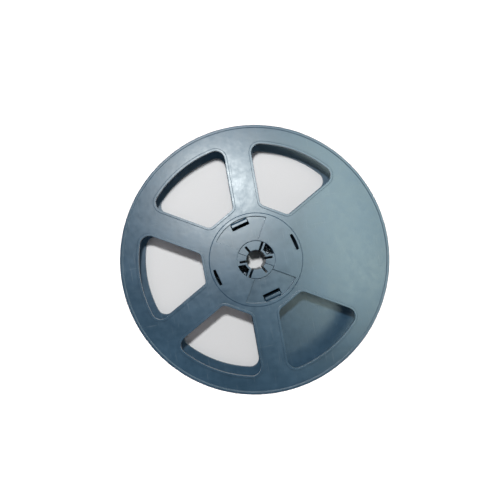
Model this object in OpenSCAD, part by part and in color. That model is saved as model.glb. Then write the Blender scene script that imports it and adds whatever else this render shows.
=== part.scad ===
// A 7-inch carrier-tape reel for surface-mount parts.
// Two identical moulded halves face each other. Each half is a flange with five windows and one solid
// label panel, and carries two opposite quadrants of the hub. The quadrants of one half fill the gaps
// between those of the other, and each half's two snap hooks catch behind the hub face of the other.

/* [Flanges] */
// Diameter of the flanges
flange_d = 178; // [160:1:200]
// Thickness of the flange web
web_t = 1.6; // [1.2:0.1:2.5]
// Height of the lips, the edge bead and the hub boss over the web
relief_h = 0.4; // [0.2:0.1:0.8]
// Clear width between the flanges
tape_space = 24.8; // [16:0.2:44]
// Width of the bead along the flange edge
bead_w = 2; // [1.5:0.1:4]
// Chamfer of the flange edge
edge_chamfer = 0.3; // [0.1:0.05:0.5]

/* [Windows] */
// Width of the spokes between the windows
spoke_w = 17.8; // [14:0.2:22]
// Width of the rim outside the windows
rim_w = 12.2; // [9:0.2:18]
// Width of the land between the hub boss and the windows
hub_land = 4.1; // [3:0.1:8]
// Radius of the windows' outer corners
outer_round = 6; // [3:0.5:8]
// Radius of the windows' inner corners
inner_round = 4; // [2:0.5:6]
// Width of the raised lip round each window
lip_w = 1.5; // [1:0.1:2.5]

/* [Hub] */
// Diameter of the hub that the tape winds on
hub_d = 61; // [58:0.5:75]
// Thickness of the hub's walls
hub_wall = 1.3; // [1:0.1:1.8]
// Overhang of the boss on the outer face beyond the hub
boss_margin = 0.6; // [0.3:0.1:1.5]
// Width of the slots in the hub that take the tape's end
tape_slot = 2.5; // [1.6:0.1:3.5]
// Gap between the halves where their quadrants lie side by side
split_gap = 0.2; // [0.1:0.05:0.3]

/* [Recesses] */
// Depth of the two recesses in the hub face
recess_depth = 1.8; // [1.4:0.1:2.4]
// Thickness of the recess floor
floor_t = 1.6; // [1.2:0.1:2.4]
// Distance from the hub's outer face to the recess
recess_rim = 1.7; // [1.2:0.1:2]
// Distance from a tape slot's middle to the recess beside it
tape_side = 3.4; // [2.6:0.1:5]
// Distance from the split between the halves to the recess beside it
split_side = 2; // [1.4:0.1:4]
// Thickness of the walls along the recess sides
side_wall = 1.2; // [0.8:0.1:1.3]

/* [Arbor] */
// Diameter of the arbor hole
bore_d = 13; // [12.8:0.1:14]
// Width of the drive slots
slot_w = 1.5; // [1.2:0.1:1.6]
// Diameter across the ends of the drive slots
slot_d = 22; // [20.2:0.1:22.6]
// Diameter of the hole in the hub face that the star stands in
collar_d = 25.4; // [25.2:0.1:30]
// Clearance of the star's nose in the collar hole of the other half, all round
collar_fit = 0.25; // [0.15:0.05:0.4]
// Thickness of the walls round the hollow teeth
tooth_wall = 1.3; // [1:0.1:1.4]
// Depth of the star's ends below the hub face
star_drop = 0.4; // [0.1:0.1:1]
// Width of the ledge between a hollow tooth's pocket and the collar hole's edge
pocket_ledge = 0.2; // [0.1:0.1:0.6]

/* [Snap hooks] */
// Width of a hook
hook_w = 11; // [8:0.5:12]
// Thickness of a hook's stem
hook_t = 1.6; // [1.2:0.1:2]
// Gap between a hook's stem and the inside of the hub
hook_gap = 2.2; // [2:0.1:3]
// Reach of the barb beyond the stem
barb_reach = 1.1; // [0.7:0.1:1.2]
// Height of the barb's edge before it slopes away
barb_edge = 0.5; // [0.3:0.1:0.6]
// Play between the barb and the recess floor that it catches
hook_play = 0.1; // [0.05:0.05:0.3]
// Depth of a hook's tip below the hub face
hook_drop = 0.3; // [0.1:0.1:0.6]
// Length of a hook's window along the radius
catch_l = 4; // [3.6:0.1:5]
// Clearance of a hook in its window on the barb's side
catch_fit = 0.3; // [0.2:0.05:0.4]
// Clearance of a hook in its window at each end
catch_side = 0.5; // [0.3:0.1:1]

/* [Hidden] */
$fn = 96;

SPOKES = 6;                                // spokes, and drive slots
step = 360 / SPOKES;                       // angle from one window to the next
split_angle = step / 2;                    // where the halves lie side by side, from the label panel
through = 1;                               // how far a cut runs past the face that it opens
arc_turn = 2.5;                            // angle between points along the windows' outer arcs
corner_turn = 10;                          // and round their corners

flange_r = flange_d / 2;
plate_t = web_t + relief_h;                // thickness at the boss, a lip or the bead
reel_w = tape_space + 2 * plate_t;         // over both hub faces
window_r = flange_r - rim_w;
hub_r = hub_d / 2;
hub_bore_r = hub_r - hub_wall;
boss_r = hub_r + boss_margin;
window_in = boss_r + hub_land;             // from the axis to a window's straight inner edge
recess_r = hub_r - recess_rim;
tub_h = recess_depth + floor_t;            // outer face to the underside of a recess
seat_z = reel_w - tub_h;                   // where a half's quadrants meet the other's recesses
collar_r = collar_d / 2;
sleeve_r = collar_r + tooth_wall;          // outside of the sleeve round the star
nose_r = collar_r - collar_fit;            // outside of the star's far end
bore_r = bore_d / 2;
hook_r = hub_bore_r - hook_gap;            // outer face of a hook's stem
catch_r = hook_r + catch_fit;              // outer edge of a hook's window
own_side = split_angle - 45;               // mid-line of a half's own quadrants
far_side = split_angle + 45;               // mid-line of the quadrants left to the other half

// The distance along its mid-line at which a wedge's sides, each at half of angle a from that line,
// start when they lie d inside two lines through the axis.
function wedge_start(a, d) = d / sin(a / 2);

// Centre of a corner that is r in radius, lies inside a window's side and touches the outer arc.
function outer_centre(side, arc, r) =
    let (off = side + r, along = sqrt(pow(arc - r, 2) - pow(off, 2)))
    [along * cos(split_angle) + off * sin(split_angle), along * sin(split_angle) - off * cos(split_angle)];

// Centre of a corner that is r in radius and touches a window's side and its inner edge.
function inner_centre(side, inner, r) =
    let (x = inner + r)
    [x, (x * sin(split_angle) - side - r) / cos(split_angle)];

// Points along an arc of radius r about a centre, from angle a to angle b, without its first or last
// point where a neighbouring arc already has it.
function arc_points(centre, r, a, b, turn, skip_first = 0, skip_last = 0) =
    let (n = ceil(abs(b - a) / turn))
    [for (i = [skip_first:n - skip_last])
        centre + r * [cos(a + (b - a) * i / n), sin(a + (b - a) * i / n)]];

// One window about the X axis, grown by g on every side: the outer arc, then two corners and their
// mirror images.
module window_shape(g = 0) {
    side = spoke_w / 2 - g;
    arc = window_r + g;
    far = outer_centre(side, arc, outer_round + g);
    near = inner_centre(side, window_in - g, inner_round + g);
    far_end = atan2(far.y, far.x);
    side_end = 90 + split_angle;
    polygon(concat(
        arc_points([0, 0], arc, -far_end, far_end, arc_turn),
        arc_points(far, outer_round + g, far_end, side_end, corner_turn, skip_first = 1),
        arc_points(near, inner_round + g, side_end, 180, corner_turn),
        arc_points([near.x, -near.y], inner_round + g, 180, 360 - side_end, corner_turn),
        arc_points([far.x, -far.y], outer_round + g, -side_end, -far_end, corner_turn, skip_last = 1)
    ));
}

// The five windows: the sixth place, on the X axis, is the label panel.
module windows(g = 0) {
    for (i = [1:SPOKES - 1]) rotate(i * step) window_shape(g);
}

// The two quadrants of the hub about mid-line m, t inside the tape slots' lines and s inside the splits.
module quadrants(m, t, s) {
    corner = m == own_side ? [s, t] : [t, s];
    for (turn = [0, 180]) rotate(m - 45 + turn) translate(corner) square(hub_d);
}

// Copies what follows to both quadrants about mid-line m.
module on_both(m) {
    for (turn = [0, 180]) rotate(m + turn) children();
}

// The flange as it lies on its outer face: boss, web and edge bead, then the lips and the windows.
module flange() {
    bead_r = flange_r - bead_w;
    difference() {
        union() {
            rotate_extrude($fn = 192) polygon([
                [0, 0],
                [boss_r - relief_h, 0],
                [boss_r, relief_h],
                [bead_r, relief_h],
                [bead_r + relief_h, 0],
                [flange_r - edge_chamfer, 0],
                [flange_r, edge_chamfer],
                [flange_r, plate_t - edge_chamfer],
                [flange_r - edge_chamfer, plate_t],
                [0, plate_t]
            ]);
            linear_extrude(plate_t) windows(lip_w);
        }
        translate([0, 0, -through]) linear_extrude(plate_t + 2 * through) windows();
    }
}

// The two trays that stand in from the flange under the recesses.
module tubs() {
    translate([0, 0, relief_h]) linear_extrude(tub_h - relief_h) intersection() {
        circle(hub_r);
        quadrants(far_side, tape_side - side_wall, split_side - side_wall);
    }
}

// What is cut from the hub face: the collar hole and the two recesses.
module hub_face_cuts() {
    translate([0, 0, -through]) cylinder(h = tub_h + 2 * through, r = collar_r);
    translate([0, 0, -through]) linear_extrude(recess_depth + through) intersection() {
        circle(recess_r);
        quadrants(far_side, tape_side, split_side);
    }
}

// The windows in the recess floors that the other half's hooks come through.
module catches() {
    on_both(far_side)
        translate([catch_r - catch_l, -hook_w / 2 - catch_side, 0])
            cube([catch_l, hook_w + 2 * catch_side, tub_h + through]);
}

// The slots in the hub face over a half's own barbs, left by the mould core that forms them.
module core_slots() {
    translate([0, 0, -through]) linear_extrude(plate_t + 2 * through) intersection() {
        circle(hub_bore_r);
        on_both(own_side) translate([hook_r, -hook_w / 2]) square([hub_wall + hook_gap, hook_w]);
    }
}

// The half's own two quadrants of the hub: a curved wall for the tape and the walls along its sides.
module quadrant_boxes() {
    translate([0, 0, relief_h]) linear_extrude(seat_z - relief_h) difference() {
        intersection() {
            circle(hub_r);
            quadrants(own_side, tape_slot / 2, split_gap / 2);
        }
        intersection() {
            circle(hub_bore_r);
            quadrants(own_side, tape_slot / 2 + hub_wall, split_gap / 2 + hub_wall);
        }
        circle(collar_r + tooth_wall / 2);
    }
}

// The ring that a half's part of the star is cut from. It steps in where it enters the other half.
module star_ring() {
    rotate_extrude() polygon([
        [bore_r, star_drop],
        [sleeve_r, star_drop],
        [sleeve_r, seat_z],
        [nose_r, seat_z],
        [nose_r, reel_w - star_drop],
        [bore_r, reel_w - star_drop]
    ]);
}

// The pocket in a whole tooth, open at the half's own face and closed at the far end.
module tooth_pocket() {
    pocket_r = collar_r - pocket_ledge;
    start = wedge_start(step, slot_w / 2 + tooth_wall);
    intersection() {
        rotate_extrude() polygon([
            [bore_r + tooth_wall, -through],
            [pocket_r, -through],
            [pocket_r, seat_z - tooth_wall],
            [nose_r - tooth_wall, seat_z - tooth_wall],
            [nose_r - tooth_wall, reel_w - star_drop - tooth_wall],
            [bore_r + tooth_wall, reel_w - star_drop - tooth_wall]
        ]);
        translate([start, 0, -through]) linear_extrude(reel_w + 2 * through) polygon([
            [0, 0],
            [hub_r, -hub_r * tan(step / 2)],
            [hub_r, hub_r * tan(step / 2)]
        ]);
    }
}

// The half's own part of the star-shaped arbor: a tooth and a half in each of its quadrants.
module star() {
    difference() {
        intersection() {
            star_ring();
            linear_extrude(reel_w) quadrants(own_side, slot_w / 2, split_gap / 2);
        }
        for (i = [0:SPOKES - 1]) rotate(i * step)
            translate([0, -slot_w / 2, 0]) cube([slot_d / 2, slot_w, reel_w]);
        on_both(split_angle - step) tooth_pocket();
    }
}

// The two snap hooks. Each reaches through the other half's recess floor and catches on it.
module hooks() {
    catch_z = reel_w - recess_depth + hook_play;
    tip_z = reel_w - hook_drop;
    on_both(own_side) rotate([90, 0, 0]) linear_extrude(hook_w, center = true) polygon([
        [hook_r - hook_t, relief_h],
        [hook_r, relief_h],
        [hook_r, catch_z],
        [hook_r + barb_reach, catch_z],
        [hook_r + barb_reach, catch_z + barb_edge],
        [hook_r, tip_z],
        [hook_r - hook_t, tip_z]
    ]);
}

// One half, lying on its outer face with its label panel on the X axis.
module reel_half() {
    difference() {
        union() {
            difference() {
                union() {
                    flange();
                    tubs();
                }
                hub_face_cuts();
                catches();
            }
            quadrant_boxes();
            star();
            hooks();
        }
        core_slots();
    }
}

// The half on top, turned face up.
module front_half() {
    color([0.43, 0.51, 0.57]) translate([0, 0, reel_w]) rotate([180, 0, 0]) reel_half();
}

// The half underneath, turned so that its quadrants fill the gaps between the front half's.
module back_half() {
    color([0.40, 0.48, 0.54]) rotate(-2 * split_angle) reel_half();
}

front_half();
back_half();
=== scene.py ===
# An empty 7-inch carrier-tape reel, lying on its back on a white sheet: two identical moulded halves,
# snapped together. Everything is in metres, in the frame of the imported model.
import math

import bpy
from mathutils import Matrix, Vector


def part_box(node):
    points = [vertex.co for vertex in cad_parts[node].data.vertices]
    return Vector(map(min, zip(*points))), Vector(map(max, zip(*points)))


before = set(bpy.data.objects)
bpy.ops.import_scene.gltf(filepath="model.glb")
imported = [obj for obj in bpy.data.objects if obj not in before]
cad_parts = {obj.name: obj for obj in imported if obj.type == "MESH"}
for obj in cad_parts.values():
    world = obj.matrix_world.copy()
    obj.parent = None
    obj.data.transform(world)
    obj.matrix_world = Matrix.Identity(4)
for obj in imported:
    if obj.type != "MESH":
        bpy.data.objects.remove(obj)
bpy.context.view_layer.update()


# The front half: a flange with five windows and a solid label panel, moulded in one shot with two hub
# quadrants, half of the star arbor and two snap hooks. It is high-impact polystyrene, dyed slate blue
# in the melt, in a mould whose faces were sparked to a fine satin.
class Shade:
    """A value in a shader. Sums, differences and products of such values are written plainly."""

    def __init__(self, tree, socket=None):
        self.tree, self.socket = tree, socket

    def node(self, kind, inputs, output=0, **settings):
        made = self.tree.nodes.new(kind)
        stops = settings.pop("stops", None)
        for name, value in settings.items():
            setattr(made, name, value)
        for number, (place, grey) in enumerate(stops or ()):
            ramp = made.color_ramp.elements
            stop = ramp[number] if number < len(ramp) else ramp.new(place)
            stop.position, stop.color = place, (grey, grey, grey, 1)
        for name, value in inputs.items():
            if isinstance(value, Shade):
                self.tree.links.new(value.socket, made.inputs[name])
            else:
                made.inputs[name].default_value = value
        return Shade(self.tree, made.outputs[output] if made.outputs else None)

    def maths(self, operation, a, b):
        return self.node("ShaderNodeMath", {0: a, 1: b}, operation=operation)

    def __add__(self, other):
        return self.maths("ADD", self, other)

    def __radd__(self, other):
        return self.maths("ADD", other, self)

    def __sub__(self, other):
        return self.maths("SUBTRACT", self, other)

    def __rsub__(self, other):
        return self.maths("SUBTRACT", other, self)

    def __mul__(self, other):
        return self.maths("MULTIPLY", self, other)

    def __rmul__(self, other):
        return self.maths("MULTIPLY", other, self)

    def ramp(self, *stops):
        return self.node("ShaderNodeValToRGB", {"Fac": self}, stops=stops)

    def mix(self, share, first, second):
        """A colour between the first, at share 0, and the second, at share 1."""
        factor, a, b, blend = 0, 6, 7, 2
        return self.node(
            "ShaderNodeMix",
            {factor: share, a: first, b: second},
            output=blend,
            data_type="RGBA",
        )


def emptied(owner):
    """The shader of a material or world, with its nodes cleared."""
    owner.use_nodes = True
    owner.node_tree.nodes.clear()
    return Shade(owner.node_tree)


def slate_polystyrene(name, dye, lot):
    """Satin slate-blue polystyrene. dye is the colour of the melt and lot shifts every pattern."""
    plastic = bpy.data.materials.new(name)
    melt = emptied(plastic)
    place = melt.node("ShaderNodeTexCoord", {}, output="Object")
    moved = melt.node("ShaderNodeMapping", {"Vector": place, "Location": (lot, lot, lot)})

    def grain(per_metre, detail=3.0, rough=0.55, stretch=(1, 1, 1), turn=0.0):
        laid = melt.node(
            "ShaderNodeMapping", {"Vector": moved, "Scale": stretch, "Rotation": (0, 0, turn)}
        )
        return melt.node(
            "ShaderNodeTexNoise",
            {"Vector": laid, "Scale": per_metre, "Detail": detail, "Roughness": rough},
        )

    # The melt's clouds are about 20 mm across, its mottle about 4 mm, and the mould's spark pits 0.4 mm.
    clouds = grain(45)
    mottle = grain(260, 4)
    spark = grain(2600, 2)
    # Faint marks of handling, drawn out in two directions.
    rubs = grain(120, 5, 0.6, stretch=(9, 0.5, 1), turn=0.7).ramp((0.62, 0), (0.74, 1))
    scuffs = grain(70, 4, 0.6, stretch=(0.5, 12, 1), turn=-0.35).ramp((0.66, 0), (0.76, 1))
    marks = rubs + scuffs

    deep = tuple(0.86 * part for part in dye) + (1,)
    pale = tuple(1.16 * part for part in dye) + (1,)
    chalky = (0.35, 0.40, 0.44, 1)
    tone = (clouds * 0.6 + mottle * 0.4).ramp((0.35, 0), (0.65, 1))
    worn = melt.mix(marks * 0.12, melt.mix(tone, deep, pale), chalky)
    rough = 0.35 + (mottle - 0.5) * 0.18 + (clouds - 0.5) * 0.12 + marks * 0.10

    # Heights are in metres. The moulded edges are softened by 0.4 mm.
    cloud_height, mottle_height, spark_height = 0.00011, 0.00003, 0.000004
    height = clouds * cloud_height + mottle * mottle_height + spark * spark_height
    rounded = melt.node("ShaderNodeBevel", {"Radius": 0.0004}, samples=6)
    bump = melt.node(
        "ShaderNodeBump",
        {"Height": height, "Strength": 1.0, "Distance": 1.0, "Normal": rounded},
    )
    shell = melt.node(
        "ShaderNodeBsdfPrincipled",
        {"Base Color": worn, "Roughness": rough, "Normal": bump, "IOR": 1.59},
    )
    melt.node("ShaderNodeOutputMaterial", {"Surface": shell})
    return plastic


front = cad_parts["front_half"]
front.material_slots[0].material = slate_polystyrene(
    "front_half_plastic", (0.0215, 0.060, 0.104), 0.0
)


# The back half: the same moulding turned over, from another shot of the same dye. Its quadrants stand
# in the gaps between the front half's, and its hooks catch on the front half's recess floors.
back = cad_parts["back_half"]
back.material_slots[0].material = slate_polystyrene(
    "back_half_plastic", (0.0205, 0.058, 0.100), 0.37
)


# The sheet and floor: matt white paper. The reel lies on a round sheet as wide as its flange, which is
# let into a wide floor of the same paper.
def matt_paper(name):
    paper = bpy.data.materials.new(name)
    pulp = emptied(paper)
    place = pulp.node("ShaderNodeTexCoord", {}, output="Object")
    fibre = pulp.node("ShaderNodeTexNoise", {"Vector": place, "Scale": 900.0, "Detail": 4.0})
    colour = pulp.mix(fibre, (0.790, 0.746, 0.742, 1), (0.818, 0.772, 0.768, 1))
    matt = pulp.node(
        "ShaderNodeBsdfPrincipled",
        {"Base Color": colour, "Roughness": 0.9, "Specular IOR Level": 0.2},
    )
    pulp.node("ShaderNodeOutputMaterial", {"Surface": matt})
    return paper


def flat_ring(name, inner, outer, material):
    """A flat ring just under the reel, or a disc where inner is 0."""
    around, just_under = 96, -0.00002
    turns = [2 * math.pi * k / around for k in range(around)]
    rim = [(outer * math.cos(a), outer * math.sin(a), 0) for a in turns]
    if inner:
        hole = [(inner * math.cos(a), inner * math.sin(a), 0) for a in turns]
        after = [(k + 1) % around for k in range(around)]
        faces = [(around + k, around + after[k], after[k], k) for k in range(around)]
    else:
        hole, faces = [], [tuple(range(around))]
    mesh = bpy.data.meshes.new(name)
    mesh.from_pydata(rim + hole, [], faces)
    mesh.materials.append(material)
    made = bpy.data.objects.new(name, mesh)
    made.location.z = just_under
    bpy.context.scene.collection.objects.link(made)
    return made


white_paper = matt_paper("white_paper")
flange_radius, floor_radius = 0.089, 3.0
sheet = flat_ring("sheet", 0, flange_radius, white_paper)
floor = flat_ring("floor", flange_radius, floor_radius, white_paper)


# The camera looks down on the front face from a third of a metre, about two degrees off square and a
# little from the left, with its top edge towards 80 degrees in the frame.
roll = math.radians(-10)
RIGHT = (math.cos(roll), math.sin(roll))
UP = (-math.sin(roll), math.cos(roll))
face_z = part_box("front_half")[1].z


def over(right, up, height):
    """The place so far right and up of the axis, as the camera sees it, and over the front face."""
    return (
        right * RIGHT[0] + up * UP[0],
        right * RIGHT[1] + up * UP[1],
        face_z + height,
    )


camera_data = bpy.data.cameras.new("camera")
camera_data.sensor_width = 36
camera_data.lens = 36.09
camera_data.clip_start, camera_data.clip_end = 0.01, 20
camera = bpy.data.objects.new("camera", camera_data)
camera_up = 0.00641
camera.location = over(-0.01731, camera_up, 0.32973)
camera.rotation_mode = "QUATERNION"
sight = Vector(over(-0.00408, camera_up, 0)) - camera.location
camera.rotation_quaternion = Matrix(
    (sight.cross(Vector((*UP, 0))).normalized(), (*UP, 0), -sight.normalized())
).transposed().to_quaternion()
bpy.context.scene.collection.objects.link(camera)
bpy.context.scene.camera = camera


# The lights: a small key lamp just above the camera and a soft panel that only glosses the right side,
# in a room with pale walls and a dim ceiling. The lamps don't show to the camera.
def lamp(name, place, size, watts, colour, aim):
    data = bpy.data.lights.new(name, "AREA")
    data.shape = "RECTANGLE"
    data.size, data.size_y = size
    data.energy, data.color = watts, colour
    made = bpy.data.objects.new(name, data)
    made.location = place
    way = Vector(aim) - Vector(place)
    made.rotation_euler = way.to_track_quat("-Z", "Y").to_euler()
    made.visible_camera = False
    bpy.context.scene.collection.objects.link(made)
    return made


key = lamp("key", over(-0.031, 0.092, 0.36), (0.022, 0.022), 1.25, (0.925, 0.99, 1), (0, 0, 0))
panel_right, panel_up = 0.125, 0.045
panel = lamp(
    "panel",
    over(panel_right, panel_up, 0.25),
    (0.11, 0.26),
    0.72,
    (0.80, 1.0, 0.94),
    over(panel_right, panel_up, 0),
)
panel.visible_diffuse = False

# The floor is lit apart from the reel, as a white background is: by an even light that nothing shades.
even = bpy.data.lights.new("backdrop", "SUN")
even.energy = 4.8
backdrop = bpy.data.objects.new("backdrop", even)
bpy.context.scene.collection.objects.link(backdrop)

world = bpy.data.worlds.new("room")
room = emptied(world)
way = room.node("ShaderNodeTexCoord", {}, output="Generated")
rise = room.node("ShaderNodeSeparateXYZ", {"Vector": way}, output="Z")
walls_and_ceiling = rise.ramp((0.25, 0.80), (0.75, 0.06))
air = room.node("ShaderNodeBackground", {"Color": walls_and_ceiling, "Strength": 1.0})
room.node("ShaderNodeOutputWorld", {"Surface": air})
bpy.context.scene.world = world
bpy.context.scene.view_settings.view_transform = "Standard"


def group(name, *members):
    made = bpy.data.collections.new(name)
    for member in members:
        made.objects.link(member)
    return made


backdrop.light_linking.receiver_collection = group("around_reel", floor)
backdrop.light_linking.blocker_collection = group("nothing")
key.light_linking.receiver_collection = group("reel_and_sheet", front, back, sheet)
